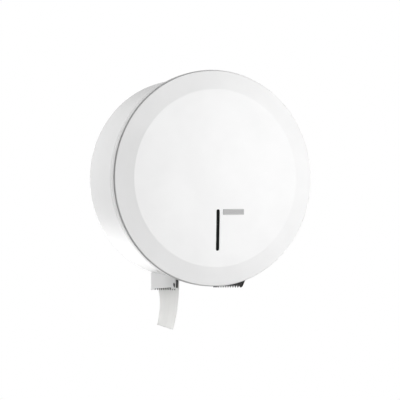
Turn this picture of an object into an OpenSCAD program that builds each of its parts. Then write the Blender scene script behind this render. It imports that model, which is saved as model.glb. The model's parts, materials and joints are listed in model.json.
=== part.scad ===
// Jumbo toilet roll dispenser: a round steel housing on the wall, a dished cover hinged on the
// right, a lock on top, two tear bars below and a hub that turns with the roll.
// The wall is the plane y = 0 and the front faces -Y. Distances called "reach" are from the wall.

/* [Housing] */
// Outer diameter of the drum
drum_d = 302; // [280:1:304]
// Reach of the drum's folded front edge
drum_reach = 117; // [105:0.5:118]
// Thickness of the steel sheet
sheet = 1.2; // [0.8:0.1:1.5]
// Rounding where the back turns into the wall of the drum
back_round = 4; // [2:0.5:8]
// Width of the drum's folded front flange
front_flange = 10; // [6:1:14]

/* [Cover] */
// Outer diameter of the cover
cover_d = 310; // [308:1:330]
// Reach of the cover's front edge
rim_reach = 122.5; // [121:0.5:130]
// Depth of the skirt that laps over the drum
skirt = 12.3; // [9:0.1:14]
// Rounding between skirt and front
rim_round = 2.3; // [1.5:0.1:4]
// Diameter of the raised middle panel
panel_d = 254; // [200:1:270]
// How far the sloping ring lifts the middle panel
ring_rise = 5; // [1:0.5:10]
// Crown of the middle panel
panel_crown = 4.5; // [0.5:0.1:7]

/* [Level window] */
// Height of the slot
slot_h = 59.5; // [30:0.5:90]
// Width of the slot
slot_w = 4.4; // [3:0.1:10]
// Sideways place of the slot's middle
slot_x = -2.4; // [-10:0.1:10]
// Height of the slot's middle
slot_z = -73.8; // [-80:0.1:-60]

/* [Tear bars] */
// Distance of each bar's outer face from the middle
bar_x = 53.5; // [45:0.5:60]
// Thickness of the plastic comb
comb_t = 3.2; // [2:0.1:5]
// Spacing of the fine teeth
tooth_pitch = 8.8; // [6:0.1:9]
// Number of fine teeth
tooth_count = 9; // [5:1:9]
// Height of the fine teeth
tooth_h = 3.2; // [2:0.1:5]
// Fall of the lower edge towards the wall
bar_fall = 0.1; // [0:0.01:0.15]

/* [Roll] */
// Diameter of the paper roll
roll_d = 250; // [120:1:252]
// Width of the paper
paper_w = 86; // [70:1:90]
// Outer diameter of the cardboard core
core_d = 64; // [62:0.5:76]
// Diameter of the spindle
spindle_d = 12; // [8:0.5:14]
// How far the loose end hangs down
tail_drop = 220; // [190:1:260]

/* [Wall fixing] */
// Spacing of the wall screws, both ways
screw_pitch = 140; // [110:1:170]
// Diameter of the wall screw holes
screw_hole_d = 6.5; // [4:0.1:8]

/* [Hidden] */

drum_r = drum_d / 2;
cover_r = cover_d / 2;
panel_r = panel_d / 2;
round_steps = 6;
crown_steps = 10;
fine = 180;
small = 48;
tiny = 0.05;

white = [0.93, 0.93, 0.92];
black = [0.09, 0.09, 0.09];
steel = [0.72, 0.73, 0.74];
paper = [0.95, 0.94, 0.92];
card = [0.66, 0.56, 0.44];
grey = [0.45, 0.46, 0.47];

// Distance of a spot on the cover's outer face from the wall, out to the foot of the ring
function crown_reach(r) = rim_reach + ring_rise + panel_crown * (1 - pow(r / panel_r, 2));
function ring_foot_r() = cover_r - rim_round;
// Points of the panel's curve, set back from its outer face
function crown_curve(back) =
  [for (i = [0:crown_steps]) let (r = panel_r * i / crown_steps) [r, crown_reach(r) - back]];
function arc(cx, cy, r, a0, a1, n = round_steps) =
  [for (i = [0:n]) let (a = a0 + (a1 - a0) * i / n) [cx + r * cos(a), cy + r * sin(a)]];
function back_to_front(list) = [for (i = [len(list) - 1:-1:0]) list[i]];

// A profile of radius and reach, turned about the drum's axis
module turned(n = fine) {
  rotate([90, 0, 0])
    rotate_extrude($fn = n)
      children();
}

// An outline in the front view, from one reach for a given depth
module facing(reach, depth) {
  translate([0, -reach, 0])
    rotate([90, 0, 0])
      linear_extrude(depth)
        children();
}

// An outline in the side view (y, z), from one x for a given width
module sideways(x, width) {
  translate([x, 0, 0])
    rotate([90, 0, 90])
      linear_extrude(width)
        children();
}

// A round bar along the drum's axis
module axle(x, z, reach, length, r, n = small) {
  translate([x, -reach, z])
    rotate([90, 0, 0])
      cylinder(h = length, r = r, $fn = n);
}

// Drum: one drawn shell, closed at the wall and folded inwards at the front
outlet_front = 104;
outlet_back = 6;
outlet_gap = 0.05;

module drum_profile() {
  fold = 2.5;
  outer = concat(
    [[0, 0]],
    arc(drum_r - back_round, back_round, back_round, -90, 0),
    arc(drum_r - fold, drum_reach - fold, fold, 0, 90),
    [[drum_r - front_flange, drum_reach]]);
  inner = concat(
    [[0, sheet]],
    arc(drum_r - back_round, back_round, back_round - sheet, -90, 0),
    arc(drum_r - fold, drum_reach - fold, fold - sheet, 0, 90),
    [[drum_r - front_flange, drum_reach - sheet]]);
  polygon(concat(outer, back_to_front(inner)));
}

bumper_angles = [90, 210, 330];
bumper_r = drum_r - 5.6;
bumper_stem_r = 1.8;

module bumper_places() {
  for (a = bumper_angles)
    translate([bumper_r * cos(a), 0, bumper_r * sin(a)])
      children();
}

module drum_housing() {
  color(white)
    difference() {
      turned() drum_profile();
      // Paper outlet between the tear bars
      translate([-bar_x - outlet_gap, -outlet_front, -drum_r - 5])
        cube([2 * (bar_x + outlet_gap), outlet_front - outlet_back, 45]);
      for (sx = [-1, 1], sz = [-1, 1])
        axle(sx * screw_pitch / 2, sz * screw_pitch / 2, -1, sheet + 2, screw_hole_d / 2);
      translate([0, -lock_reach, drum_r - 10])
        cylinder(h = 20, r = lock_r + 0.05, $fn = small);
      bumper_places()
        axle(0, 0, drum_reach - 4, 8, bumper_stem_r, 24);
      hinge_rivet_places()
        rotate([0, 90, 0])
          translate([0, 0, -6])
            cylinder(h = 12, r = hinge_rivet_r, $fn = 24);
    }
}

module cover_bumpers() {
  foot_h = 5.2;
  foot_r = 4;
  color(black)
    bumper_places()
      turned_bumper(foot_r, foot_h);
}

module turned_bumper(foot_r, foot_h) {
  translate([0, -drum_reach, 0])
    rotate([90, 0, 0])
      rotate_extrude($fn = 32)
        polygon(concat(
          [[0, -3.4], [1.2, -3.4], [2.5, -2.2], [2.5, -sheet], [bumper_stem_r, -sheet],
            [bumper_stem_r, 0], [foot_r, 0]],
          arc(foot_r - 1.5, foot_h - 1.5, 1.5, 0, 90, 4),
          [[0, foot_h]]));
}

// Cover: a pressed lid with a skirt, a sloping ring and a lightly crowned middle panel
module cover_profile() {
  r0 = ring_foot_r();
  back = rim_reach - skirt;
  outer = concat(
    crown_curve(0),
    arc(r0, rim_reach - rim_round, rim_round, 80, 0),
    [[cover_r, back + 0.4], [cover_r - 0.4, back]]);
  inner = concat(
    crown_curve(sheet),
    arc(r0, rim_reach - rim_round, rim_round - sheet, 80, 0),
    [[cover_r - sheet, back]]);
  polygon(concat(outer, back_to_front(inner)));
}

module stadium(w, h) {
  straight_h = h - w;
  square([w, straight_h], center = true);
  for (s = [-1, 1])
    translate([0, s * straight_h / 2])
      circle(d = w, $fn = small);
}

module front_cover() {
  color(white)
    difference() {
      turned() cover_profile();
      translate([slot_x, 0, slot_z])
        facing(drum_reach, 30)
          stadium(slot_w, slot_h);
    }
}

// Dark strip behind the slot, moulded to the curve of the panel, with a rib that fills the slot
window_w = 16;
window_h = 88;
window_t = 1.6;
window_rib_gap = 0.1;
window_rib_back = 0.4;
stud_z = 37;
stud_r = 1.5;
clip_r = 4.5;

// A slice of the cover's curve between two depths behind the outer face
module crown_slice(front, back) {
  turned()
    polygon(concat(crown_curve(front), back_to_front(crown_curve(back))));
}

module behind_slot(w, h) {
  translate([slot_x, 0, slot_z])
    facing(drum_reach, 20)
      stadium(w, h);
}

module level_window() {
  color(black, 0.9)
    difference() {
      union() {
        intersection() {
          crown_slice(sheet, sheet + window_t);
          behind_slot(window_w, window_h);
        }
        intersection() {
          crown_slice(window_rib_back, sheet + window_t / 2);
          behind_slot(slot_w - 2 * window_rib_gap, slot_h - 2 * window_rib_gap);
        }
      }
      stud_places()
        axle(0, 0, drum_reach, 20, stud_r + 0.1, 24);
    }
}

module stud_places() {
  for (s = [-1, 1])
    translate([slot_x, 0, slot_z + s * stud_z])
      children();
}

// Inner face of the cover at a distance from the middle of a stud
function stud_seat(s, r = 0) = crown_reach(abs(slot_z + s * stud_z) + r) - sheet;

module window_studs() {
  stud_l = 3.2;
  color(steel)
    intersection() {
      for (s = [-1, 1])
        axle(slot_x, slot_z + s * stud_z, stud_seat(s) - stud_l, stud_l + 1, stud_r, 24);
      turned()
        polygon(concat([[0, drum_reach]], crown_curve(sheet), [[panel_r, drum_reach]]));
    }
}

// Push-on clips, slit to spring over the studs
module window_clips() {
  clip_t = 0.6;
  slit = 0.7;
  color(steel)
    for (s = [-1, 1])
      let (seat = stud_seat(s, clip_r + 0.3) - window_t)
        translate([slot_x, 0, slot_z + s * stud_z])
          difference() {
            axle(0, 0, seat - clip_t, clip_t, clip_r, 32);
            axle(0, 0, seat - clip_t - 1, clip_t + 2, stud_r, 24);
            for (a = [0, 120, 240])
              rotate([0, a, 0])
                translate([stud_r - 0.1, -seat - 1, -slit / 2])
                  cube([2, clip_t + 2, slit]);
          }
}

// Hinge on the right: three knuckles on the drum, two on the cover, one pin
hinge_x = cover_r + 2.5;
hinge_reach = rim_reach - skirt - 4.2;
knuckle_r = 3.2;
hinge_pin_r = 1.6;
hinge_half = 30;
knuckle_edges = [-30, -18, -6, 6, 18, 30];
knuckle_gap = 0.3;
hinge_rivet_r = 1.6;
leaf_t = 1.2;

module hinge_rivet_places() {
  for (reach = [84, 96], z = [-22, 22])
    let (a = asin(z / drum_r))
      translate([0, -reach, 0])
        rotate([0, -a, 0])
          translate([drum_r, 0, 0])
            children();
}

module knuckle(i, bore) {
  z0 = knuckle_edges[i] + knuckle_gap / 2;
  z1 = knuckle_edges[i + 1] - knuckle_gap / 2;
  translate([hinge_x, -hinge_reach, z0])
    difference() {
      cylinder(h = z1 - z0, r = knuckle_r, $fn = small);
      translate([0, 0, -1])
        cylinder(h = z1 - z0 + 2, r = bore, $fn = small);
    }
}

// A band of sheet that follows the drum or the skirt, cut to the hinge's height
module curved_leaf(r0, r1, reach0, reach1, half) {
  intersection() {
    turned()
      translate([r0, reach0])
        square([r1 - r0, reach1 - reach0]);
    translate([0, -reach1 - 1, -half])
      cube([cover_r + 10, reach1 - reach0 + 2, 2 * half]);
  }
}

module hinge_leaf_fixed() {
  web_reach = hinge_reach - knuckle_r;
  color(white)
    difference() {
      union() {
        curved_leaf(drum_r, drum_r + leaf_t, 78, web_reach + leaf_t, hinge_half);
        for (i = [0, 2, 4]) {
          knuckle(i, hinge_pin_r);
          translate([drum_r - 4, -web_reach - leaf_t, knuckle_edges[i] + knuckle_gap / 2])
            cube([hinge_x - drum_r + 4, leaf_t, 12 - knuckle_gap]);
        }
      }
      axle(0, 0, 60, 80, drum_r, fine);
      translate([hinge_x, -hinge_reach, -hinge_half - 1])
        cylinder(h = 2 * hinge_half + 2, r = hinge_pin_r, $fn = small);
      hinge_rivet_places()
        rotate([0, 90, 0])
          translate([0, 0, -6])
            cylinder(h = 12, r = hinge_rivet_r, $fn = 24);
    }
}

module hinge_rivets() {
  head_r = 3;
  head_h = 1.1;
  color(steel)
    hinge_rivet_places()
      rotate([0, 90, 0])
        rotate_extrude($fn = 24)
          polygon([[0, -sheet - head_h - 0.3], [head_r - 1, -sheet - head_h - 0.3],
            [head_r - 0.4, -sheet - 0.3], [hinge_rivet_r, -sheet - 0.3],
            [hinge_rivet_r, leaf_t + 0.15], [head_r, leaf_t + 0.15],
            [head_r - 0.6, leaf_t + head_h], [0, leaf_t + head_h + 0.2]]);
}

module hinge_pin() {
  head_h = 1.2;
  color(steel)
    translate([hinge_x, -hinge_reach, 0])
      rotate_extrude($fn = small)
        polygon([[0, -hinge_half - head_h], [2.2, -hinge_half - head_h], [2.6, -hinge_half - 0.5],
          [2.6, -hinge_half], [hinge_pin_r, -hinge_half], [hinge_pin_r, hinge_half],
          [2.6, hinge_half], [2.6, hinge_half + 0.5], [2.2, hinge_half + head_h],
          [0, hinge_half + head_h]]);
}

module hinge_leaf_cover() {
  inner = cover_r - sheet - leaf_t;
  back = rim_reach - skirt;
  front = rim_reach - rim_round - 1;
  color(white)
    difference() {
      union() {
        curved_leaf(inner, cover_r - sheet, back, front, 18 - knuckle_gap / 2);
        for (i = [1, 3]) {
          knuckle(i, hinge_pin_r + 0.05);
          z0 = knuckle_edges[i] + knuckle_gap / 2;
          translate([0, 0, z0])
            linear_extrude(12 - knuckle_gap)
              polygon([[inner - 2, -back], [inner - 2, -back + leaf_t],
                [hinge_x - 2, -hinge_reach - 1], [hinge_x, -hinge_reach - 2],
                [hinge_x + 1.5, -hinge_reach - knuckle_r + 0.6], [cover_r - sheet, -back]]);
        }
      }
      axle(0, 0, 60, 80, inner, fine);
      translate([hinge_x, -hinge_reach, -hinge_half - 1])
        cylinder(h = 2 * hinge_half + 2, r = hinge_pin_r + 0.05, $fn = small);
    }
}

// Tear bars: a folded steel bracket outside and a toothed plastic comb inside it
bar_low = -168.7;
bar_back = 1;
bar_front = 101;
bar_nose = 109;
bar_ear = 3.4;
first_tooth = 20;
peg_reach = 94;
peg_z = -153;
peg_r = 2.15;

// Lowest line of the bar at a reach
function bar_line(reach) = bar_low + bar_fall * reach;
function comb_root(reach) = bar_line(reach) + tooth_h + 0.3;

// Both outlines end at the front in an ear and a nose that slants up to the cover
function bar_end(drop) = [[-bar_front + bar_ear, bar_line(bar_front) + drop],
  [-bar_front, bar_line(bar_front) + bar_ear * 0.7], [-bar_nose, -148]];

module bracket_outline() {
  rear_ear = 13;
  front_ear = 84;
  rise = 2.4;
  top = -sqrt(pow(drum_r - 2 * sheet, 2) - pow(bar_x, 2));
  polygon(concat(
    [[-bar_back, top], [-bar_back, bar_line(bar_back)], [-rear_ear, bar_line(rear_ear)],
      [-rear_ear - rise, bar_line(rear_ear) + rise],
      [-front_ear + rise, bar_line(front_ear) + rise], [-front_ear, bar_line(front_ear)]],
    bar_end(0),
    [[-bar_nose, top]]));
}

module comb_outline() {
  rear_ear = 12;
  front_ear = 96.5;
  inset = 0.3;
  tooth_root = tooth_pitch * 0.24;
  tooth_tip = tooth_pitch * 0.11;
  fine_row = [for (k = [0:tooth_count - 1], step = [0:3])
    let (c = first_tooth + tooth_pitch * k,
      y = [c - tooth_root, c - tooth_tip, c + tooth_tip, c + tooth_root][step],
      low = (step == 1 || step == 2) ? bar_line(c) + inset : comb_root(c))
    [-y, low]];
  polygon(concat(
    [[-bar_back, -145], [-bar_back, bar_line(bar_back) + inset],
      [-rear_ear, bar_line(rear_ear) + inset], [-rear_ear - 1, comb_root(rear_ear + 1)]],
    fine_row,
    [[-front_ear + 1, comb_root(front_ear - 1)], [-front_ear, bar_line(front_ear) + inset]],
    bar_end(inset),
    [[-bar_nose, -145]]));
}

module tear_bracket() {
  foot_end = 76;
  drum_in = drum_r - sheet;
  difference() {
    union() {
      intersection() {
        sideways(bar_x - sheet, sheet)
          bracket_outline();
        // Inside the drum the plate ends at the foot, outside it stays below the front bridge
        union() {
          translate([0, -outlet_front, -200])
            cube([100, outlet_front - outlet_back, 100 + sheet]);
          difference() {
            translate([0, -bar_nose, -200])
              cube([100, bar_nose, 100]);
            axle(0, 0, -1, drum_reach + 2, drum_r, fine);
          }
        }
      }
      // Foot welded to the inside of the drum
      intersection() {
        turned()
          translate([drum_in - sheet, outlet_back + 2])
            square([sheet, outlet_front - outlet_back - 4]);
        translate([bar_x - sheet, -outlet_front, -drum_r])
          cube([foot_end - bar_x + sheet, outlet_front, drum_r]);
      }
    }
    axle(0, 0, -1, drum_reach + 2, drum_in - sheet - tiny, fine);
    translate([bar_x - 3, -peg_reach, peg_z])
      rotate([0, 90, 0])
        cylinder(h = 6, r = peg_r, $fn = 32);
  }
}

module tear_bracket_left() {
  color(white)
    mirror([1, 0, 0])
      tear_bracket();
}

module tear_bracket_right() {
  color(white)
    tear_bracket();
}

module tear_comb() {
  inner_x = bar_x - sheet - comb_t;
  difference() {
    union() {
      sideways(inner_x, comb_t)
        comb_outline();
      translate([inner_x + 1, -peg_reach, peg_z])
        rotate([0, 90, 0])
          cylinder(h = comb_t + sheet - 1 + 0.4, r = peg_r, $fn = 32);
    }
    translate([inner_x - 1, -peg_reach, peg_z])
      rotate([0, 90, 0])
        cylinder(h = 4, r = 1.2, $fn = 24);
  }
}

module tear_comb_left() {
  color(black)
    mirror([1, 0, 0])
      tear_comb();
}

module tear_comb_right() {
  color(black)
    tear_comb();
}

// Spindle group: bracket on the back, shaft, washers, clip
hub_back = 7.5;
hub_front = 101;
clip_reach = 104;
spindle_r = spindle_d / 2;

module spindle_bracket() {
  foot_r = 48;
  seat_r = 22;
  seat = 5;
  color(steel)
    difference() {
      turned(96)
        polygon([[0, sheet + seat - 2], [seat_r - 2, sheet + seat - 2], [seat_r + 4, sheet],
          [foot_r, sheet], [foot_r, sheet + 1.6], [seat_r + 5, sheet + 1.6],
          [seat_r, sheet + seat], [0, sheet + seat]]);
      for (a = [45:90:315])
        axle(38 * cos(a), 38 * sin(a), 0, 8, 3, 24);
      axle(0, 0, 0, 20, spindle_r, small);
    }
}

module spindle_shaft() {
  color(steel)
    turned(small)
      polygon([[0, sheet + 1.6], [spindle_r + 3, sheet + 1.6], [spindle_r + 3, sheet + 2.9],
        [spindle_r, sheet + 2.9], [spindle_r, clip_reach], [spindle_r - 1, clip_reach],
        [spindle_r - 1, clip_reach + 1.1], [spindle_r, clip_reach + 1.1],
        [spindle_r, clip_reach + 2.6], [spindle_r - 1.2, clip_reach + 3.8],
        [0, clip_reach + 3.8]]);
}

module thrust_washer() {
  color(paper)
    turned(small)
      translate([spindle_r + 0.05, sheet + 5])
        square([7, hub_back - sheet - 5 - 0.1]);
}

module brake_washer() {
  waves = 3;
  steps = 36;
  inner_r = spindle_r + 0.3;
  outer_r = spindle_r + 5;
  lift = 0.55;
  thick = 0.5;
  mid = (hub_front + clip_reach) / 2;
  color(steel)
    for (i = [0:steps - 1])
      let (a0 = 360 * i / steps, a1 = 360 * (i + 1) / steps,
        h0 = lift * sin(a0 * waves), h1 = lift * sin(a1 * waves))
        brake_piece(a0, a1, mid + (h0 + h1) / 2 - thick / 2, inner_r, outer_r, thick);
}

module brake_piece(a0, a1, reach, r0, r1, thick) {
  facing(reach, thick)
    polygon([[r0 * cos(a0), r0 * sin(a0)], [r1 * cos(a0), r1 * sin(a0)],
      [r1 * cos(a1), r1 * sin(a1)], [r0 * cos(a1), r0 * sin(a1)]]);
}

module retaining_clip() {
  color(steel)
    facing(clip_reach + 0.05, 1)
      difference() {
        circle(r = spindle_r + 2.6, $fn = small);
        circle(r = spindle_r - 0.95, $fn = small);
        translate([0, -spindle_r - 2])
          square([spindle_r * 1.3, spindle_r * 2], center = true);
      }
}

// Hub that carries the core, with three sprung fingers at its front
hub_r = core_d / 2 - 2.4;

module core_hub() {
  wall = 2.4;
  ribs = 6;
  boss_r = spindle_r + 4;
  color(grey)
    difference() {
      union() {
        turned(96)
          polygon([[spindle_r + 0.05, hub_back], [46, hub_back], [47.5, hub_back + 1],
            [47.5, hub_back + 2], [46.5, hub_back + 3], [hub_r, hub_back + 3],
            [hub_r, hub_front - 6], [hub_r - 2, hub_front - 1], [hub_r - wall - 1, hub_front - 1],
            [hub_r - wall, hub_front - 6], [hub_r - wall, hub_back + 3], [boss_r, hub_back + 3],
            [boss_r, hub_front], [spindle_r + 0.05, hub_front]]);
        for (i = [0:ribs - 1])
          rotate([0, 360 * i / ribs, 0])
            translate([boss_r - 0.5, -hub_front + 14, -0.9])
              cube([hub_r - wall - boss_r + 1, hub_front - 14 - hub_back - 2, 1.8]);
      }
      // Slits that free the fingers
      for (i = [0:2], s = [-1, 1])
        rotate([0, 120 * i + 30 + s * 12, 0])
          translate([hub_r - wall - 1, -hub_front - 1, -0.6])
            cube([wall + 2, 34, 1.2]);
    }
}

module cardboard_core() {
  color(card)
    turned(96)
      translate([core_d / 2 - 2, roll_back])
        square([2, paper_w]);
}

roll_back = 11.5;

module paper_roll() {
  color(paper)
    turned()
      polygon([[core_d / 2, roll_back], [roll_d / 2 - 1, roll_back], [roll_d / 2, roll_back + 1],
        [roll_d / 2, roll_back + paper_w - 1], [roll_d / 2 - 1, roll_back + paper_w],
        [core_d / 2, roll_back + paper_w]]);
}

// Loose end: off the roll's left side, over the foot of the left bracket, down inside the comb.
// Below the comb its back edge bows inwards and its front edge curls out.
tail_t = 0.6;
tail_gap = 0.5;
tail_columns = 6;
curl_top = -158;
tail_margin = 0.5;

function tail_path() =
  let (r = roll_d / 2 + tail_gap,
    foot_r = drum_r - 2 * sheet - tail_gap - tail_t,
    x = -(bar_x - sheet - comb_t) + tail_gap + tail_t)
  concat(
    arc(0, 0, r, 190, 203, 3),
    arc(0, 0, foot_r, 229, 246, 5),
    [[x - 2.4, -138.6]],
    [for (i = [0:11]) [x, -143.5 - (tail_drop - 143.5) * i / 11]]);

// How far down the free stretch a height lies, from 0 to 1
function tail_free(z) = max(0, (curl_top - z) / (tail_drop + curl_top));
function tail_bow(t, u) = (1 - u) * (4.6 * sin(180 * t) - 0.4 * t) - u * 9.4 * pow(t, 1.8);
function tail_lift(t, u) = 3.2 * u * t * t;

module paper_tail() {
  path = tail_path();
  last = len(path) - 1;
  cols = tail_columns;
  outward = [for (i = [0:last])
    let (d = path[min(i + 1, last)] - path[max(i - 1, 0)])
    [d[1], -d[0]] / norm(d)];
  function spot(i, j, side) =
    let (u = j / cols, p = path[i] + outward[i] * tail_t * side, t = tail_free(path[i][1]))
    [p[0] + tail_bow(t, u), -roll_back - tail_margin - (paper_w - 2 * tail_margin) * u,
      p[1] + tail_lift(t, u)];
  ring = 2 * (cols + 1);
  points = [for (i = [0:last], k = [0:ring - 1])
    k <= cols ? spot(i, k, 0) : spot(i, ring - 1 - k, 1)];
  walls = [for (i = [0:last - 1], k = [0:ring - 1])
    let (n = (k + 1) % ring, a = i * ring + k, b = i * ring + n)
    each [[a, b + ring, a + ring], [a, b, b + ring]]];
  ends = [for (i = [0, last], j = [0:cols - 1])
    let (a = i * ring + j, b = i * ring + j + 1,
      c = i * ring + ring - 2 - j, d = i * ring + ring - 1 - j)
    each i == 0 ? [[a, c, b], [a, d, c]] : [[a, b, c], [a, c, d]]];
  color(paper)
    polyhedron(points, concat(walls, ends));
}

// Lock on top: housing and nut in the drum, plug, cam and screw turn together
lock_reach = 90;
lock_r = 8;
lock_top = drum_r + 2;
cam_z = 130.6;
cam_t = 2.4;
plug_r = 5.5;

module lock_housing() {
  bore = plug_r + 0.05;
  low = cam_z + cam_t + 0.4;
  color(steel)
    difference() {
      translate([0, -lock_reach, 0])
        rotate_extrude($fn = small)
          polygon([[bore, low], [lock_r, low], [lock_r, drum_r - 4], [lock_r + 3, drum_r - 4],
            [lock_r + 3, lock_top - 0.6], [lock_r + 2.4, lock_top], [bore, lock_top]]);
      // The head is seated on the curve of the drum
      difference() {
        axle(0, 0, lock_reach - 15, 30, drum_r, fine);
        translate([0, -lock_reach, 0])
          cylinder(h = 200, r = lock_r, $fn = small);
      }
    }
}

module lock_nut() {
  nut_h = 4;
  seat = drum_r - sheet;
  color(steel)
    intersection() {
      translate([0, -lock_reach, seat - nut_h - 0.3])
        difference() {
          cylinder(h = nut_h + 1, r = 11.5, $fn = 6);
          translate([0, 0, -1])
            cylinder(h = nut_h + 4, r = lock_r, $fn = small);
        }
      axle(0, 0, lock_reach - 15, 30, seat, fine);
    }
}

module lock_plug() {
  color(steel)
    difference() {
      translate([0, -lock_reach, 0])
        rotate_extrude($fn = small)
          polygon([[0, cam_z + cam_t], [plug_r, cam_z + cam_t], [plug_r, lock_top - 0.3],
            [plug_r - 0.3, lock_top], [0, lock_top]]);
      translate([-0.8, -lock_reach - 3.4, lock_top - 6])
        cube([1.6, 6.8, 8]);
      translate([0, -lock_reach, cam_z])
        cylinder(h = 8, r = 1.5, $fn = 24);
    }
}

module lock_cam() {
  reach = 25;
  color(steel)
    translate([0, -lock_reach, cam_z])
      difference() {
        linear_extrude(cam_t) {
          circle(r = 6, $fn = small);
          translate([-5, -reach + 5])
            square([10, reach - 5]);
          translate([0, -reach + 5])
            circle(r = 5, $fn = small);
        }
        translate([0, 0, -1])
          cylinder(h = cam_t + 2, r = 1.5, $fn = 24);
      }
}

module cam_screw() {
  head_h = 2;
  color(steel)
    translate([0, -lock_reach, cam_z])
      difference() {
        rotate_extrude($fn = 32)
          polygon([[0, -head_h], [2.4, -head_h], [3, -head_h + 0.6], [3, 0], [1.5, 0], [1.5, 7.5],
            [0, 7.5]]);
        for (a = [0, 90])
          rotate([0, 0, a])
            translate([-1.7, -0.35, -head_h - 1])
              cube([3.4, 0.7, 2]);
      }
}

// Bracket welded inside the cover; its turned-down end stops behind the cam
module catch_bracket() {
  x0 = 12;
  width = 12;
  plate_z = 134.6;
  plate_t = 1.5;
  foot_h = 9;
  lip_reach = 82;
  lip_low = 129.6;
  front = rim_reach + ring_rise;
  color(steel) {
    difference() {
      translate([x0, -front, plate_z])
        cube([width, front - lip_reach, plate_t]);
      cover_front();
    }
    translate([x0, -lip_reach - plate_t, lip_low])
      cube([width, plate_t, plate_z - lip_low + plate_t]);
    // Foot that lies against the inside of the cover
    intersection() {
      translate([x0, -front, plate_z - foot_h])
        cube([width, 2 * ring_rise, foot_h + plate_t]);
      difference() {
        translate([0, plate_t, 0])
          cover_front();
        cover_front();
      }
    }
  }
}

// Everything from the cover's inner face outwards
module cover_front() {
  beyond = rim_reach + 30;
  turned()
    polygon(concat(
      crown_curve(sheet),
      [[ring_foot_r(), rim_reach - sheet], [cover_r, rim_reach - sheet], [cover_r, beyond],
        [0, beyond]]));
}

drum_housing();
tear_bracket_left();
tear_bracket_right();
tear_comb_left();
tear_comb_right();
spindle_bracket();
spindle_shaft();
thrust_washer();
brake_washer();
retaining_clip();
hinge_leaf_fixed();
hinge_rivets();
hinge_pin();
cover_bumpers();
lock_housing();
lock_nut();
paper_tail();
front_cover();
level_window();
window_studs();
window_clips();
hinge_leaf_cover();
catch_bracket();
lock_plug();
lock_cam();
cam_screw();
core_hub();
cardboard_core();
paper_roll();
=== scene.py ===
import json
import math

import bmesh
import bpy
from mathutils import Matrix, Vector, noise


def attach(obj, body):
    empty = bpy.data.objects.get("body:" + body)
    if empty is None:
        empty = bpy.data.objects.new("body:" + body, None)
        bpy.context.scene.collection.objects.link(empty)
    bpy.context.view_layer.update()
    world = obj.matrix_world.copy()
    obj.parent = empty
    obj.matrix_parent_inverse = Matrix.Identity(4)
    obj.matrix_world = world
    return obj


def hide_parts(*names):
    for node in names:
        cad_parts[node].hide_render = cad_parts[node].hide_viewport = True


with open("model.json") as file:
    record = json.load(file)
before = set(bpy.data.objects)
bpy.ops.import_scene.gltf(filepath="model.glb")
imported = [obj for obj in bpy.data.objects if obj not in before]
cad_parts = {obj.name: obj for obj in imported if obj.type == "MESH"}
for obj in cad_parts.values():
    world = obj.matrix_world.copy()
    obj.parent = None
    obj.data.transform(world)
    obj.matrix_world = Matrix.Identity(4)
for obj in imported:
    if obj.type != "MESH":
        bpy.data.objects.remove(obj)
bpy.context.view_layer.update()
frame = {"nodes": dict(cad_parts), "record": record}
nodes = frame["nodes"]
scene = bpy.context.scene
mm = 0.001


# Camera: the photograph's view, a little left of the front and level with the drum's middle
camera = {"place": (-0.63066, -1.49509, -0.01687), "target": (-0.02585, -0.1225, -0.03101), "lens": 94.99}


def addCamera(c):
    data = bpy.data.cameras.new("viewCamera")
    data.lens = c["lens"]
    data.sensor_width = 36
    data.clip_end = 50
    cam = bpy.data.objects.new("viewCamera", data)
    scene.collection.objects.link(cam)
    cam.location = c["place"]
    cam.rotation_euler = (Vector(c["target"]) - Vector(c["place"])).to_track_quat("-Z", "Y").to_euler()
    scene.camera = cam


addCamera(camera)
print("camera set")


# Material helpers

def linear(hexText):
    parts = [int(hexText[i:i + 2], 16) / 255 for i in (1, 3, 5)]
    return tuple(p / 12.92 if p <= 0.04045 else ((p + 0.055) / 1.055) ** 2.4 for p in parts) + (1.0,)


def addNode(tree, kind, settings=None, values=None, links=None):
    node = tree.nodes.new(kind)
    for name, value in (settings or {}).items():
        setattr(node, name, value)
    for name, value in (values or {}).items():
        node.inputs[name].default_value = value
    for name, source in (links or {}).items():
        tree.links.new(source, node.inputs[name])
    return node


def newMaterial(name, shader):
    mat = bpy.data.materials.new(name)
    mat.use_nodes = True
    tree = mat.node_tree
    tree.nodes.clear()
    surface = addNode(tree, "ShaderNodeBsdfPrincipled", values=shader)
    addNode(tree, "ShaderNodeOutputMaterial", links={"Surface": surface.outputs["BSDF"]})
    place = addNode(tree, "ShaderNodeTexCoord").outputs["Object"]
    return mat, tree, surface, place


def tintedBy(tree, factor, dark, light, low=0.0, high=1.0):
    ramp = addNode(tree, "ShaderNodeValToRGB", links={"Fac": factor})
    ramp.color_ramp.elements[0].position = low
    ramp.color_ramp.elements[0].color = linear(dark)
    ramp.color_ramp.elements[1].position = high
    ramp.color_ramp.elements[1].color = linear(light)
    return ramp.outputs["Color"]


def roughBetween(tree, factor, low, high):
    return addNode(tree, "ShaderNodeMapRange", values={"To Min": low, "To Max": high},
                   links={"Value": factor}).outputs["Result"]


def bumped(tree, surface, height, distance, strength=1.0):
    bump = addNode(tree, "ShaderNodeBump", values={"Distance": distance, "Strength": strength},
                   links={"Height": height})
    tree.links.new(bump.outputs["Normal"], surface.inputs["Normal"])


def perMillimetre(size):
    return 1 / (size * mm)  # texture scale for features of this size


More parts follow.
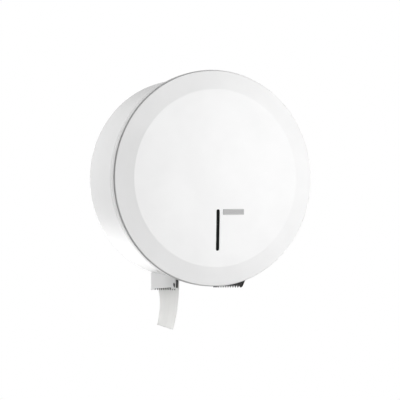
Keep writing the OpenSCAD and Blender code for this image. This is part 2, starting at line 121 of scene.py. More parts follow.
# Painted shade: a grey mixed into the coat where three soft limits overlap: distance from the axis, depth and
# side
def withPaintedShade(tree, place, coat, shadeBand):
    flat = addNode(tree, "ShaderNodeVectorMath", {"operation": "MULTIPLY"}, {1: (1, 0, 1)}, {0: place})
    radius = addNode(tree, "ShaderNodeVectorMath", {"operation": "LENGTH"}, links={0: flat.outputs[0]})
    split = addNode(tree, "ShaderNodeSeparateXYZ", links={"Vector": place})
    shadeMask = None
    measures = {"radius": radius.outputs["Value"], "y": split.outputs["Y"], "x": split.outputs["X"]}
    for key, source in measures.items():
        start, full = shadeBand[key]
        ramp = addNode(tree, "ShaderNodeMapRange", {"interpolation_type": "SMOOTHSTEP"},
                       {"From Min": start * mm, "From Max": full * mm,
                        "To Max": 1.0 if shadeMask else shadeBand["strength"]}, {"Value": source}).outputs["Result"]
        shadeMask = addNode(tree, "ShaderNodeMath", {"operation": "MULTIPLY"},
                         links={0: ramp, 1: shadeMask}).outputs[0] if shadeMask else ramp
    mix = addNode(tree, "ShaderNodeMix", {"data_type": "RGBA"}, {"B": linear(shadeBand["hex"])},
                  {"A": coat, "Factor": shadeMask})
    return mix.outputs["Result"]


# Powder coat on steel, satin: the baked film keeps a faint orange peel about 1.5 mm across
def powderCoat(name, hexDark, hexLight, roughness, shadeBand):
    mat, tree, surface, place = newMaterial(name, {"IOR": 1.5, "Specular IOR Level": 0.5})
    cloud = addNode(tree, "ShaderNodeTexNoise", values={"Scale": perMillimetre(60), "Detail": 3.0},
                    links={"Vector": place})
    coat = tintedBy(tree, cloud.outputs["Fac"], hexDark, hexLight, 0.35, 0.65)
    # painted shade is mixed into the coat's colour
    tree.links.new(withPaintedShade(tree, place, coat, shadeBand), surface.inputs["Base Color"])
    tree.links.new(roughBetween(tree, cloud.outputs["Fac"], roughness - 0.03, roughness + 0.03),
                   surface.inputs["Roughness"])
    peel = addNode(tree, "ShaderNodeTexNoise", values={"Scale": perMillimetre(1.5), "Detail": 1.0},
                   links={"Vector": place})
    bumped(tree, surface, peel.outputs["Fac"], 0.000006)
    return mat


# Zinc-plated steel: blue-bright film with a soft spangle about 4 mm across
def zincSteel(name):
    mat, tree, surface, place = newMaterial(name, {"Metallic": 1.0})
    spangle = addNode(tree, "ShaderNodeTexVoronoi", values={"Scale": perMillimetre(4)},
                      links={"Vector": place})
    zinc = tintedBy(tree, spangle.outputs["Distance"], "#A9ACB0", "#C4C7CA")
    tree.links.new(zinc, surface.inputs["Base Color"])
    tree.links.new(roughBetween(tree, spangle.outputs["Distance"], 0.28, 0.4), surface.inputs["Roughness"])
    grit = addNode(tree, "ShaderNodeTexNoise", values={"Scale": perMillimetre(0.8)}, links={"Vector": place})
    bumped(tree, surface, grit.outputs["Fac"], 0.000008)
    return mat


# Spring steel, rolled and tempered: darker, with lines along the strip
def springSteel(name):
    mat, tree, surface, place = newMaterial(name, {"Metallic": 1.0})
    lines = addNode(tree, "ShaderNodeTexNoise", values={"Scale": perMillimetre(0.6), "Detail": 4.0},
                    links={"Vector": place})
    steel = tintedBy(tree, lines.outputs["Fac"], "#77797D", "#96989C", 0.3, 0.7)
    tree.links.new(steel, surface.inputs["Base Color"])
    tree.links.new(roughBetween(tree, lines.outputs["Fac"], 0.22, 0.36), surface.inputs["Roughness"])
    return mat


# Chrome on a die-cast lock: bright, with a turned grain
def lockChrome(name):
    mat, tree, surface, place = newMaterial(name, {"Metallic": 1.0})
    grain = addNode(tree, "ShaderNodeTexNoise", values={"Scale": perMillimetre(0.5), "Detail": 3.0},
                    links={"Vector": place})
    tree.links.new(tintedBy(tree, grain.outputs["Fac"], "#C9CBCE", "#DADBDD"), surface.inputs["Base Color"])
    tree.links.new(roughBetween(tree, grain.outputs["Fac"], 0.1, 0.2), surface.inputs["Roughness"])
    return mat


# Satin aluminium, anodised: brushed lines along the plate, about 0.3 mm apart as drawn
def satinAluminium(name, hexDark, hexLight):
    mat, tree, surface, place = newMaterial(name, {"Metallic": 0.3, "Roughness": 0.45})
    stretched = addNode(tree, "ShaderNodeMapping", values={"Scale": (0.05, 1, 1)}, links={"Vector": place})
    lines = addNode(tree, "ShaderNodeTexNoise", values={"Scale": perMillimetre(0.3), "Detail": 2.0},
                    links={"Vector": stretched.outputs["Vector"]})
    brushed = tintedBy(tree, lines.outputs["Fac"], hexDark, hexLight, 0.3, 0.7)
    tree.links.new(brushed, surface.inputs["Base Color"])
    bumped(tree, surface, lines.outputs["Fac"], 0.000004)
    return mat


# Moulded plastic, spark-eroded tool texture about 0.7 mm across
def mouldedPlastic(name, hexDark, hexLight, roughness, ior=1.53, depth=0.00002, gloss=0.5):
    mat, tree, surface, place = newMaterial(name, {"IOR": ior, "Specular IOR Level": gloss})
    flow = addNode(tree, "ShaderNodeTexNoise", values={"Scale": perMillimetre(18), "Detail": 2.0},
                   links={"Vector": place})
    resin = tintedBy(tree, flow.outputs["Fac"], hexDark, hexLight, 0.3, 0.7)
    tree.links.new(resin, surface.inputs["Base Color"])
    grain = addNode(tree, "ShaderNodeTexNoise", values={"Scale": perMillimetre(0.7), "Detail": 2.0},
                    links={"Vector": place})
    tree.links.new(roughBetween(tree, grain.outputs["Fac"], roughness - 0.06, roughness + 0.06),
                   surface.inputs["Roughness"])
    bumped(tree, surface, grain.outputs["Fac"], depth)
    return mat


# Creped tissue, two thin plies: soft fuzz, and crepe lines across the web drawn 1.6 mm apart
def tissueWeb(name, hexDark, hexLight, sheen, through):
    mat, tree, surface, place = newMaterial(name, {"Roughness": 0.95, "IOR": 1.45, "Sheen Weight": sheen,
                                                   "Sheen Roughness": 0.35})
    web = addNode(tree, "ShaderNodeTexCoord").outputs["UV"]
    streaks = addNode(tree, "ShaderNodeMapping", values={"Scale": (14, 1.5, 1)}, links={"Vector": web})
    soft = addNode(tree, "ShaderNodeTexNoise", values={"Scale": 1.0, "Detail": 3.0},
                   links={"Vector": streaks.outputs["Vector"]})
    white = tintedBy(tree, soft.outputs["Fac"], hexDark, hexLight, 0.3, 0.7)
    tree.links.new(white, surface.inputs["Base Color"])
    across = addNode(tree, "ShaderNodeMapping", values={"Scale": (12, 140, 1)}, links={"Vector": web})
    crepe = addNode(tree, "ShaderNodeTexNoise", values={"Scale": 1.0, "Detail": 2.0},
                    links={"Vector": across.outputs["Vector"]})
    bumped(tree, surface, crepe.outputs["Fac"], 0.00006)
    passing = addNode(tree, "ShaderNodeBsdfTranslucent", links={"Color": white})
    mix = addNode(tree, "ShaderNodeMixShader", {}, {"Fac": through},
                  {1: surface.outputs["BSDF"], 2: passing.outputs["BSDF"]})
    out = next(n for n in tree.nodes if n.type == "OUTPUT_MATERIAL")
    tree.links.new(mix.outputs[0], out.inputs["Surface"])
    return mat


# The same tissue wound tight: the layers' edges are fine rings, drawn 2.5 mm apart so that they show
def tissueWound(name, hexDark, hexLight):
    mat, tree, surface, place = newMaterial(name, {"Roughness": 0.95, "IOR": 1.45, "Sheen Weight": 0.2,
                                                   "Sheen Roughness": 0.5})
    rings = addNode(tree, "ShaderNodeTexWave", {"wave_type": "RINGS", "rings_direction": "Y"},
                    {"Scale": perMillimetre(2.5) * math.pi / 10, "Distortion": 1.5, "Detail": 2.0,
                     "Detail Scale": 0.6}, {"Vector": place})
    tree.links.new(tintedBy(tree, rings.outputs["Fac"], hexDark, hexLight), surface.inputs["Base Color"])
    bumped(tree, surface, rings.outputs["Fac"], 0.00005)
    return mat


# Grey board, wound from paper: brown-grey fibres about 2 mm long
def greyBoard(name):
    mat, tree, surface, place = newMaterial(name, {"IOR": 1.45})
    fibres = addNode(tree, "ShaderNodeTexNoise",
                     values={"Scale": perMillimetre(2), "Detail": 5.0, "Roughness": 0.7},
                     links={"Vector": place})
    card = tintedBy(tree, fibres.outputs["Fac"], "#957C5B", "#B59D7B", 0.3, 0.7)
    tree.links.new(card, surface.inputs["Base Color"])
    tree.links.new(roughBetween(tree, fibres.outputs["Fac"], 0.8, 0.92), surface.inputs["Roughness"])
    bumped(tree, surface, fibres.outputs["Fac"], 0.00008)
    return mat


# Painted shade: a band on the drum just behind the cover's skirt and a dark line on the skirt's rounded rim,
# both on the left, and the front of the tear bars under the cover;
# each limit is in millimetres, from where the shade starts to where it is full
seamShade = {"radius": (150.2, 150.7), "y": (-90, -101), "x": (55, -40), "hex": "#B4B4B4", "strength": 0.7}
rimShade = {"radius": (152.9, 153.5), "y": (-120.2, -121.0), "x": (55, -40), "hex": "#A4A4A4", "strength": 0.7}
barFrontShade = {"radius": (0, 1), "y": (-35, -105), "x": (60, 50), "hex": "#B4B4B4", "strength": 0.6}
finishes = {
    # painted shade on the drum just behind the cover's skirt
    "housing_paint": powderCoat("powderCoatHousing", "#E9E9E9", "#EDEDED", 0.18, seamShade),
    # painted shade: a dark line along the left of the cover's rounded rim
    "cover_paint": powderCoat("powderCoatCover", "#EAEAEA", "#EEEEEE", 0.3, rimShade),
    "comb_plastic": mouldedPlastic("blackPolyamide", "#101010", "#171717", 0.6, gloss=0.25),
    "window_plastic": mouldedPlastic("mattBlackAcrylic", "#070707", "#0B0B0B", 0.7, 1.49, 0.000004, 0.15),
    "zinc_steel": zincSteel("zincPlatedSteel"),
    "spring_steel": springSteel("springSteel"),
    "lock_chrome": lockChrome("chromedZincAlloy"),
    "hub_plastic": mouldedPlastic("greyAbs", "#6A6D70", "#74777A", 0.4),
    "washer_plastic": mouldedPlastic("acetal", "#E6E3DC", "#ECE9E3", 0.35, 1.48),
    "rubber": mouldedPlastic("epdmRubber", "#191919", "#222222", 0.78),
    "tissue": tissueWound("woundTissue", "#E8E8E6", "#F3F3F1"),
    "core_card": greyBoard("greyBoard"),
}
# The bars' coat is a lighter copy of the housing coat, painted light, and painted shade darkens it towards
# the front under the cover
barPaint = powderCoat("powderCoatBars", "#F1F1F1", "#F5F5F5", 0.3, barFrontShade)
# The loose end's tissue is a lighter copy of the wound tissue's colour: painted light on the hanging sheet
tailTissue = tissueWeb("tissueWeb", "#F8F8F7", "#FDFDFC", 1.0, 0.85)
plateMetals = [satinAluminium("satinAluminium", "#9A9A9A", "#A6A6A6"),
               satinAluminium("satinAluminiumField", "#8E8E8E", "#9A9A9A")]
for part in frame["record"]["subparts"]:
    node = nodes[part["node"]]
    node.data.materials.clear()
    node.data.materials.append(finishes[part["material_slot"]])
print("materials made")


# Studio: a pale floor, and a soft world with a main light in front on the right and one behind on the left.
# The flag is a dim band behind the object that the drum's side mirrors, between two heights of the view
studio = {"floorSize": 1.7, "floorHeight": -0.62, "floorPlace": -0.1, "floorHex": "#E6E6E6", "floorLift": 0.5,
          "fill": 0.2, "behindFull": 0.3,
          "flag": {"foot": {"From Min": -0.39, "From Max": -0.24},
                   "head": {"From Min": 0.45, "From Max": 0.3}, "dark": 0.2},
          "lights": [{"azimuth": 32.4, "elevation": 3.9, "focus": 12.5, "strength": 6.2},
                     {"azimuth": -164.3, "elevation": 6.1, "focus": 7.7, "strength": 3.0},
                     {"azimuth": 179.0, "elevation": -18.2, "focus": 22.6, "strength": 1.9}]}


# Painted floor: even and matt. The camera sees it a little lighter than it is lit, and not at all from below
def paleFloor(name, hexPaint, lift):
    mat, tree, surface, place = newMaterial(name, {"Base Color": linear(hexPaint), "Roughness": 0.9})
    surface.inputs["Emission Color"].default_value = linear(hexPaint)
    seen = addNode(tree, "ShaderNodeMath", {"operation": "MULTIPLY"}, {1: lift},
                   {0: addNode(tree, "ShaderNodeLightPath").outputs["Is Camera Ray"]})
    tree.links.new(seen.outputs[0], surface.inputs["Emission Strength"])
    under = addNode(tree, "ShaderNodeNewGeometry").outputs["Backfacing"]
    clear = addNode(tree, "ShaderNodeBsdfTransparent")
    mix = addNode(tree, "ShaderNodeMixShader",
                  links={0: under, 1: surface.outputs["BSDF"], 2: clear.outputs["BSDF"]})
    out = next(n for n in tree.nodes if n.type == "OUTPUT_MATERIAL")
    tree.links.new(mix.outputs[0], out.inputs["Surface"])
    return mat


def addFloor(s):
    bm = bmesh.new()
    bmesh.ops.create_grid(bm, x_segments=4, y_segments=4, size=s["floorSize"] / 2)
    bmesh.ops.translate(bm, verts=bm.verts, vec=(0, s["floorPlace"], s["floorHeight"]))
    mesh = bpy.data.meshes.new("studioFloor")
    bm.to_mesh(mesh)
    bm.free()
    floor = bpy.data.objects.new("studioFloor", mesh)
    scene.collection.objects.link(floor)
    mesh.materials.append(paleFloor("paintedFloor", s["floorHex"], s["floorLift"]))


# Each light is a soft lobe of the world: strength times the cosine to its axis, to the power of focus
def lobe(tree, direction, light):
    azimuth, elevation = math.radians(light["azimuth"]), math.radians(light["elevation"])
    level = math.cos(elevation)
    axis = (math.sin(azimuth) * level, -math.cos(azimuth) * level, math.sin(elevation))
    facing = addNode(tree, "ShaderNodeVectorMath", {"operation": "DOT_PRODUCT"}, {1: axis}, {0: direction})
    front = addNode(tree, "ShaderNodeMath", {"operation": "MAXIMUM"}, {1: 0.0}, {0: facing.outputs["Value"]})
    narrowed = addNode(tree, "ShaderNodeMath", {"operation": "POWER"}, {1: light["focus"]},
                       {0: front.outputs[0]})
    return addNode(tree, "ShaderNodeMath", {"operation": "MULTIPLY"}, {1: light["strength"]},
                   {0: narrowed.outputs[0]}).outputs[0]


def addWorld(s):
    world = bpy.data.worlds.new("studioWorld")
    scene.world = world
    world.use_nodes = True
    tree = world.node_tree
    tree.nodes.clear()
    direction = addNode(tree, "ShaderNodeTexCoord").outputs["Generated"]
    total = addNode(tree, "ShaderNodeValue").outputs[0]
    total.default_value = s["fill"]
    for light in s["lights"]:
        total = addNode(tree, "ShaderNodeMath", {"operation": "ADD"},
                        links={0: total, 1: lobe(tree, direction, light)}).outputs[0]
    # gloss sees white behind the object, but for the flag
    split = addNode(tree, "ShaderNodeSeparateXYZ", links={"Vector": direction})
    behind = addNode(tree, "ShaderNodeMapRange", {"interpolation_type": "SMOOTHSTEP"},
                     {"From Max": s["behindFull"]}, {"Value": split.outputs["Y"]})
    paths = addNode(tree, "ShaderNodeLightPath").outputs
    mirrored = addNode(tree, "ShaderNodeMath", {"operation": "MULTIPLY"},
                       links={0: behind.outputs[0], 1: paths["Is Glossy Ray"]})
    foot = addNode(tree, "ShaderNodeMapRange", {}, s["flag"]["foot"], {"Value": split.outputs["Z"]})
    head = addNode(tree, "ShaderNodeMapRange", {}, s["flag"]["head"], {"Value": split.outputs["Z"]})
    flag = addNode(tree, "ShaderNodeMath", {"operation": "MULTIPLY"},
                   links={0: foot.outputs[0], 1: head.outputs[0]})
    shade = addNode(tree, "ShaderNodeMath", {"operation": "MULTIPLY"},
                    links={0: flag.outputs[0], 1: mirrored.outputs[0]})
    passed = addNode(tree, "ShaderNodeMapRange", {}, {"To Min": 1.0, "To Max": 1 - s["flag"]["dark"]},
                     {"Value": shade.outputs[0]})
    # the camera sees plain white
    direct = addNode(tree, "ShaderNodeMath", {"operation": "MAXIMUM"},
                     links={0: paths["Is Camera Ray"], 1: paths["Is Transmission Ray"]})
    brightest = addNode(tree, "ShaderNodeMath", {"operation": "MAXIMUM"},
                        links={0: total, 1: mirrored.outputs[0]})
    dimmed = addNode(tree, "ShaderNodeMath", {"operation": "MULTIPLY"},
                     links={0: brightest.outputs[0], 1: passed.outputs["Result"]})
    lit = addNode(tree, "ShaderNodeBackground", links={"Strength": dimmed.outputs[0]})
    white = addNode(tree, "ShaderNodeBackground", values={"Strength": 1.0})
    for node in (lit, white):
        node.inputs["Color"].default_value = (1, 1, 1, 1)
    mix = addNode(tree, "ShaderNodeMixShader",
                  links={0: direct.outputs[0], 1: lit.outputs[0], 2: white.outputs[0]})
    addNode(tree, "ShaderNodeOutputWorld", links={"Surface": mix.outputs[0]})


addFloor(studio)
addWorld(studio)
scene.view_settings.view_transform = "Standard"
print("studio set")


# Mesh helpers

def addPiece(name, bm, slot, body, *stoodFor, smooth=35, weighted=False, coats=None):
    mesh = bpy.data.meshes.new(name)
    bm.to_mesh(mesh)
    bm.free()
    for coat in coats or [finishes[slot]]:
        mesh.materials.append(coat)
    mesh.polygons.foreach_set("use_smooth", [True] * len(mesh.polygons))
    mesh.set_sharp_from_angle(angle=math.radians(smooth))
    piece = bpy.data.objects.new(name, mesh)
    scene.collection.objects.link(piece)
    if weighted:  # keeps flats flat beside their rounded edges
        piece.modifiers.new("faceWeight", "WEIGHTED_NORMAL").keep_sharp = True
    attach(piece, body)
    if stoodFor:
        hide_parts(*stoodFor)
    return piece


def arc(cx, cy, r, start, end, count):
    angles = [math.radians(start + (end - start) * i / count) for i in range(count + 1)]
    return [(cx + r * math.cos(a), cy + r * math.sin(a)) for a in angles]


# A closed profile of (radius, reach) in millimetres, spun about the drum's axis
def spunShell(profile, steps):
    bm = bmesh.new()
    points = [bm.verts.new((r * mm, -reach * mm, 0)) for r, reach in profile]
    edges = [bm.edges.new((points[i], points[(i + 1) % len(points)])) for i in range(len(points))
             if profile[i][0] > 0 or profile[(i + 1) % len(points)][0] > 0]
    bmesh.ops.spin(bm, geom=points + edges, cent=(0, 0, 0), axis=(0, 1, 0), dvec=(0, 0, 0),
                   angle=2 * math.pi, steps=steps, use_merge=True, use_duplicate=False)
    bmesh.ops.remove_doubles(bm, verts=bm.verts, dist=1e-6)
    bmesh.ops.recalc_face_normals(bm, faces=bm.faces)
    return bm


def boxMesh(low, high):
    bm = bmesh.new()
    bmesh.ops.create_cube(bm, size=1)
    size = [high[i] - low[i] for i in range(3)]
    bmesh.ops.scale(bm, verts=bm.verts, vec=[s * mm for s in size])
    bmesh.ops.translate(bm, verts=bm.verts, vec=[(low[i] + high[i]) / 2 * mm for i in range(3)])
    return bm


# A rod along Y, or upright, with its middle at a place in millimetres
def rodMesh(place, radius, length, upright=False, segments=48):
    bm = bmesh.new()
    bmesh.ops.create_cone(bm, cap_ends=True, segments=segments, radius1=radius * mm, radius2=radius * mm,
                          depth=length * mm)
    if not upright:
        bmesh.ops.rotate(bm, verts=bm.verts, cent=(0, 0, 0), matrix=Matrix.Rotation(math.pi / 2, 3, "X"))
    bmesh.ops.translate(bm, verts=bm.verts, vec=[p * mm for p in place])
    return bm


# A plate with rounded corners that faces the front, its back at y = 0 and its middle at (x, z)
def plateMesh(x, z, width, height, thick, corner, segments):
    bm = bmesh.new()
    bmesh.ops.create_grid(bm, x_segments=1, y_segments=1, size=0.5)
    bmesh.ops.scale(bm, verts=bm.verts, vec=(width * mm, height * mm, 1))
    bmesh.ops.bevel(bm, geom=bm.verts[:], offset=corner * mm, offset_type="OFFSET", segments=segments,
                    profile=0.5, affect="VERTICES", material=-1)
    bmesh.ops.remove_doubles(bm, verts=bm.verts, dist=1e-6)
    grown = bmesh.ops.extrude_face_region(bm, geom=bm.faces[:])
    bmesh.ops.translate(bm, verts=[v for v in grown["geom"] if isinstance(v, bmesh.types.BMVert)],
                        vec=(0, 0, thick * mm))
    bmesh.ops.recalc_face_normals(bm, faces=bm.faces)
    bmesh.ops.rotate(bm, verts=bm.verts, cent=(0, 0, 0), matrix=Matrix.Rotation(math.pi / 2, 3, "X"))
    bmesh.ops.translate(bm, verts=bm.verts, vec=(x * mm, 0, z * mm))
    return bm


# Cuts one bmesh with others, through Boolean modifiers that are applied at once
def cutWith(bm, *tools):
    for tool in tools:
        meshes = [bpy.data.meshes.new(n) for n in ("cutBody", "cutTool")]
        bm.to_mesh(meshes[0])
        tool.to_mesh(meshes[1])
        objects = [bpy.data.objects.new(m.name, m) for m in meshes]
        for o in objects:
            scene.collection.objects.link(o)
        step = objects[0].modifiers.new("cut", "BOOLEAN")
        step.operation = "DIFFERENCE"
        step.solver = "EXACT"
        step.object = objects[1]
        bpy.context.view_layer.update()
        done = objects[0].evaluated_get(bpy.context.evaluated_depsgraph_get()).to_mesh()
        bm.free()
        tool.free()
        bm = bmesh.new()
        bm.from_mesh(done)
        for o in objects:
            bpy.data.objects.remove(o)
        for m in meshes:
            bpy.data.meshes.remove(m)
    return bm


def bevelSharp(bm, width, segments=2, limit=40):
    edges = [e for e in bm.edges if len(e.link_faces) == 2 and e.calc_face_angle(0) > math.radians(limit)]
    bmesh.ops.bevel(bm, geom=edges, offset=width * mm, offset_type="OFFSET", segments=segments,
                    profile=0.5, affect="EDGES", material=-1, clamp_overlap=True)


# A copy of a CAD node with its loose triangles joined and its sharp edges rounded
def softened(nodeName, width, reshape=None):
    bm = bmesh.new()
    bm.from_mesh(nodes[nodeName].data)
    bmesh.ops.remove_doubles(bm, verts=bm.verts, dist=2e-6)
    if reshape:
        bm = reshape(bm)
        bmesh.ops.remove_doubles(bm, verts=bm.verts, dist=2e-6)
    bmesh.ops.dissolve_limit(bm, angle_limit=math.radians(0.5), verts=bm.verts, edges=bm.edges)
    bevelSharp(bm, width)
    return bm


# Cover: one pressing, with the slot punched through
cover = {"radius": 155.0, "rimReach": 122.5, "skirt": 12.3, "rimRound": 2.3, "panelRadius": 127.0,
         "ringRise": 5.0, "crown": 4.5, "sheet": 1.2, "slotX": -1.5, "slotZ": -73.8, "slotWidth": 5.2,
         "slotHeight": 59.5, "slotSteps": 20, "punch": 150, "ringRadii": (135, 144, 152), "foldFrom": 80,
         "foldDrop": 0.04, "edge": 0.4, "crease": 0.8, "steps": 288}


def crownReach(c, r):
    return c["rimReach"] + c["ringRise"] + c["crown"] * (1 - (r / c["panelRadius"]) ** 2)


def coverProfile(c):
    foot = c["radius"] - c["rimRound"]
    back = c["rimReach"] - c["skirt"]
    radii = [c["panelRadius"] * i / 20 for i in range(20)]
    radii += [c["panelRadius"] - c["crease"], c["panelRadius"]]
    crown = [(r, crownReach(c, r)) for r in radii]
    start = crownReach(c, c["panelRadius"])
    foldRadius = foot + c["rimRound"] * math.cos(math.radians(c["foldFrom"]))
    fall = (c["ringRise"] + c["foldDrop"]) / (foldRadius - c["panelRadius"])
    ring = (c["panelRadius"] + c["crease"], *c["ringRadii"])
    crown += [(r, start - fall * (r - c["panelRadius"])) for r in ring]
    outer = crown + arc(foot, c["rimReach"] - c["rimRound"], c["rimRound"], c["foldFrom"], 0, 10)
    outer += [(c["radius"], back + c["edge"]), (c["radius"] - c["edge"], back)]
    inner = [(r, reach - c["sheet"]) for r, reach in crown]
    inner += arc(foot, c["rimReach"] - c["rimRound"], c["rimRound"] - c["sheet"], c["foldFrom"], 0, 6)
    inner += [(c["radius"] - c["sheet"], back)]
    return outer + inner[::-1]


def addCover(c):
    slot = plateMesh(c["slotX"], c["slotZ"], c["slotWidth"], c["slotHeight"], c["punch"],
                     c["slotWidth"] / 2 - 0.001, c["slotSteps"])
    shell = cutWith(spunShell(coverProfile(c), c["steps"]), slot)
    addPiece("coverPressing", shell, "cover_paint", "cover", "front_cover")


addCover(cover)
print("cover made")


# Drum: one drawn shell, with the outlet, the wall screw holes and the lock hole cut out of it
drum = {"radius": 151.0, "reach": 117.0, "sheet": 1.2, "backRound": 4.0, "fold": 2.5, "flange": 10.0,
        "outletHalf": 53.55, "outletBack": 6.0, "outletFront": 104.0, "outletRise": 36.0, "screwPitch": 140.0,
        "screwHole": 3.25, "lockReach": 90.0, "lockHole": 8.05, "cutPast": 9, "screwCut": 10, "lockCut": 20,
        "flatBack": 90, "loops": (5, 30, 60, 90, 113.5), "steps": 288}


def drumProfile(d):
    outer = [(0, 0), (d["flatBack"], 0)]
    outer += arc(d["radius"] - d["backRound"], d["backRound"], d["backRound"], -90, 0, 10)
    outer += [(d["radius"], reach) for reach in d["loops"]]
    outer += arc(d["radius"] - d["fold"], d["reach"] - d["fold"], d["fold"], 0, 90, 8)
    outer += [(d["radius"] - d["flange"], d["reach"])]
    inner = [(0, d["sheet"]), (d["flatBack"], d["sheet"])]
    inner += arc(d["radius"] - d["backRound"], d["backRound"], d["backRound"] - d["sheet"], -90, 0, 8)
    inner += [(d["radius"] - d["sheet"], reach) for reach in d["loops"]]
    inner += arc(d["radius"] - d["fold"], d["reach"] - d["fold"], d["fold"] - d["sheet"], 0, 90, 6)
    inner += [(d["radius"] - d["flange"], d["reach"] - d["sheet"])]
    return outer + inner[::-1]


def addDrum(d):
    outlet = boxMesh((-d["outletHalf"], -d["outletFront"], -d["radius"] - d["cutPast"]),
                     (d["outletHalf"], -d["outletBack"], -d["radius"] + d["outletRise"]))
    half = d["screwPitch"] / 2
    screws = [rodMesh((side * half, 0, end * half), d["screwHole"], d["screwCut"])
              for side in (-1, 1) for end in (-1, 1)]
    lock = rodMesh((0, -d["lockReach"], d["radius"]), d["lockHole"], d["lockCut"], upright=True, segments=64)
    shell = cutWith(spunShell(drumProfile(d), d["steps"]), outlet, *screws, lock)
    addPiece("drumShell", shell, "housing_paint", "housing", "drum_housing")


addDrum(drum)
print("drum made")


# Tear bars: folded brackets, and moulded combs with thin teeth along their lower edge
bars = {"inner": 49.1, "innerSkin": 0.3, "thinnedBy": 0.9, "low": -167.6, "fall": 0.085, "sag": 0.02,
        "sagFrom": -148.0, "sagOver": 8.0, "rear": 12.0, "clear": 0.6, "cutHalf": 60, "cutFoot": -178,
        "cutHead": -160, "count": 9, "first": 20.0, "last": 88.0, "rootThick": 1.5, "tipThick": 1.0,
        "sunk": 0.5, "bracketEdge": 0.25, "combEdge": 0.15, "face": 53.5, "pegReach": 92.6, "pegZ": -152.6,
        "pegHead": 2.7, "pegSlope": 0.5, "pegProud": 0.9, "pegRound": 0.25, "noseLean": 0.05,
        "noseFoot": -160.0, "noseHead": -140.5,
        "hands": [{"name": "left", "side": -1, "height": 3.2, "cutTo": 118.0, "bracketNose": 97.5,
                   "combNose": 98.3, "root": 2.4, "tip": 0.9},
                  {"name": "right", "side": 1, "height": 2.5, "cutTo": 96.2, "bracketNose": 120.0,
                   "combNose": 120.0, "root": 3.0, "tip": 1.1}]}  # the right noses keep the solid's slant


# Sets the front end back to a steep line
def setBack(bm, b, reach):
    for v in bm.verts:
        if v.co.z < b["noseHead"] * mm:
            v.co.y = max(v.co.y, -reach * mm - b["noseLean"] * (v.co.z - b["noseFoot"] * mm))
    return bm


# Everything of the comb below the line where its teeth stand
def toothCutter(b, hand):
    bm = boxMesh((-b["cutHalf"], -hand["cutTo"], b["cutFoot"]),
                 (b["cutHalf"], -b["rear"] - b["clear"], b["cutHead"]))
    for v in bm.verts:
        if v.co.z > b["low"] * mm:
            v.co.z = (b["low"] + hand["height"]) * mm - (b["fall"] + b["sag"]) * (v.co.y + b["rear"] * mm)
    return bm


def addTeeth(bm, b, hand):
    for i in range(b["count"]):
        reach = b["first"] + (b["last"] - b["first"]) * i / (b["count"] - 1)
        foot = b["low"] + b["fall"] * (reach - b["rear"])
        tooth = bmesh.ops.create_cone(bm, cap_ends=True, segments=4, radius1=math.sqrt(0.5),
                                      radius2=math.sqrt(0.5), depth=1)["verts"]
        bmesh.ops.rotate(bm, verts=tooth, cent=(0, 0, 0), matrix=Matrix.Rotation(math.pi / 4, 3, "Z"))
        for v in tooth:
            root = v.co.z > 0
            length, thick = (hand["root"], b["rootThick"]) if root else (hand["tip"], b["tipThick"])
            across = b["inner"] + b["thinnedBy"] + (0.5 + v.co.x) * thick
            v.co = Vector((hand["side"] * across, v.co.y * length - reach,
                           foot + (hand["height"] + b["sunk"] if root else 0))) * mm
    bmesh.ops.recalc_face_normals(bm, faces=bm.faces)


def addTearBars(b):
    for hand in b["hands"]:
        solid = "tear_bracket_" + hand["name"]
        bracket = softened(solid, b["bracketEdge"], lambda bm: setBack(bm, b, hand["bracketNose"]))
        addPiece("tearBracket." + hand["name"], bracket, "housing_paint", "housing", solid,
                 weighted=True, coats=[barPaint])
        solid = "tear_comb_" + hand["name"]
        comb = softened(solid, b["combEdge"],
                        lambda bm: cutWith(setBack(bm, b, hand["combNose"]), toothCutter(b, hand)))
        for v in comb.verts:  # thinner than the solid, and its lower edge hangs a little towards the front
            if abs(v.co.x) < (b["inner"] + b["innerSkin"]) * mm:
                v.co.x += hand["side"] * b["thinnedBy"] * mm
            low = min(1.0, max(0.0, b["sagFrom"] - v.co.z / mm) / b["sagOver"])
            v.co.z -= b["sag"] * low * max(0.0, -v.co.y - b["rear"] * mm)
        addTeeth(comb, b, hand)
        addPiece("tearComb." + hand["name"], comb, "comb_plastic", "housing", solid, weighted=True)
        addPegHead(b, hand)


# The rounded head of the peg that holds bracket and comb together
def addPegHead(b, hand):
    head = bmesh.new()
    bmesh.ops.create_cone(head, cap_ends=True, segments=40, radius1=b["pegHead"] * mm,
                          radius2=(b["pegHead"] - b["pegSlope"]) * mm, depth=b["pegProud"] * mm)
    bevelSharp(head, b["pegRound"], 3, 30)
    bmesh.ops.rotate(head, verts=head.verts, cent=(0, 0, 0),
                     matrix=Matrix.Rotation(hand["side"] * math.pi / 2, 3, "Y"))
    bmesh.ops.translate(head, verts=head.verts,
                        vec=(hand["side"] * b["face"] * mm, -b["pegReach"] * mm, b["pegZ"] * mm))
    addPiece("pegHead." + hand["name"], head, "comb_plastic", "housing", weighted=True)


addTearBars(bars)
print("tear bars made")


# Badge plate: a bare satin plate pressed on the panel, with a shallow field inside a raised edge
badge = {"x": 22.8, "z": -48.15, "width": 33.2, "height": 8.2, "corner": 0.9, "thick": 0.5, "round": 0.15,
         "edge": 1.1, "sunk": 0.15}


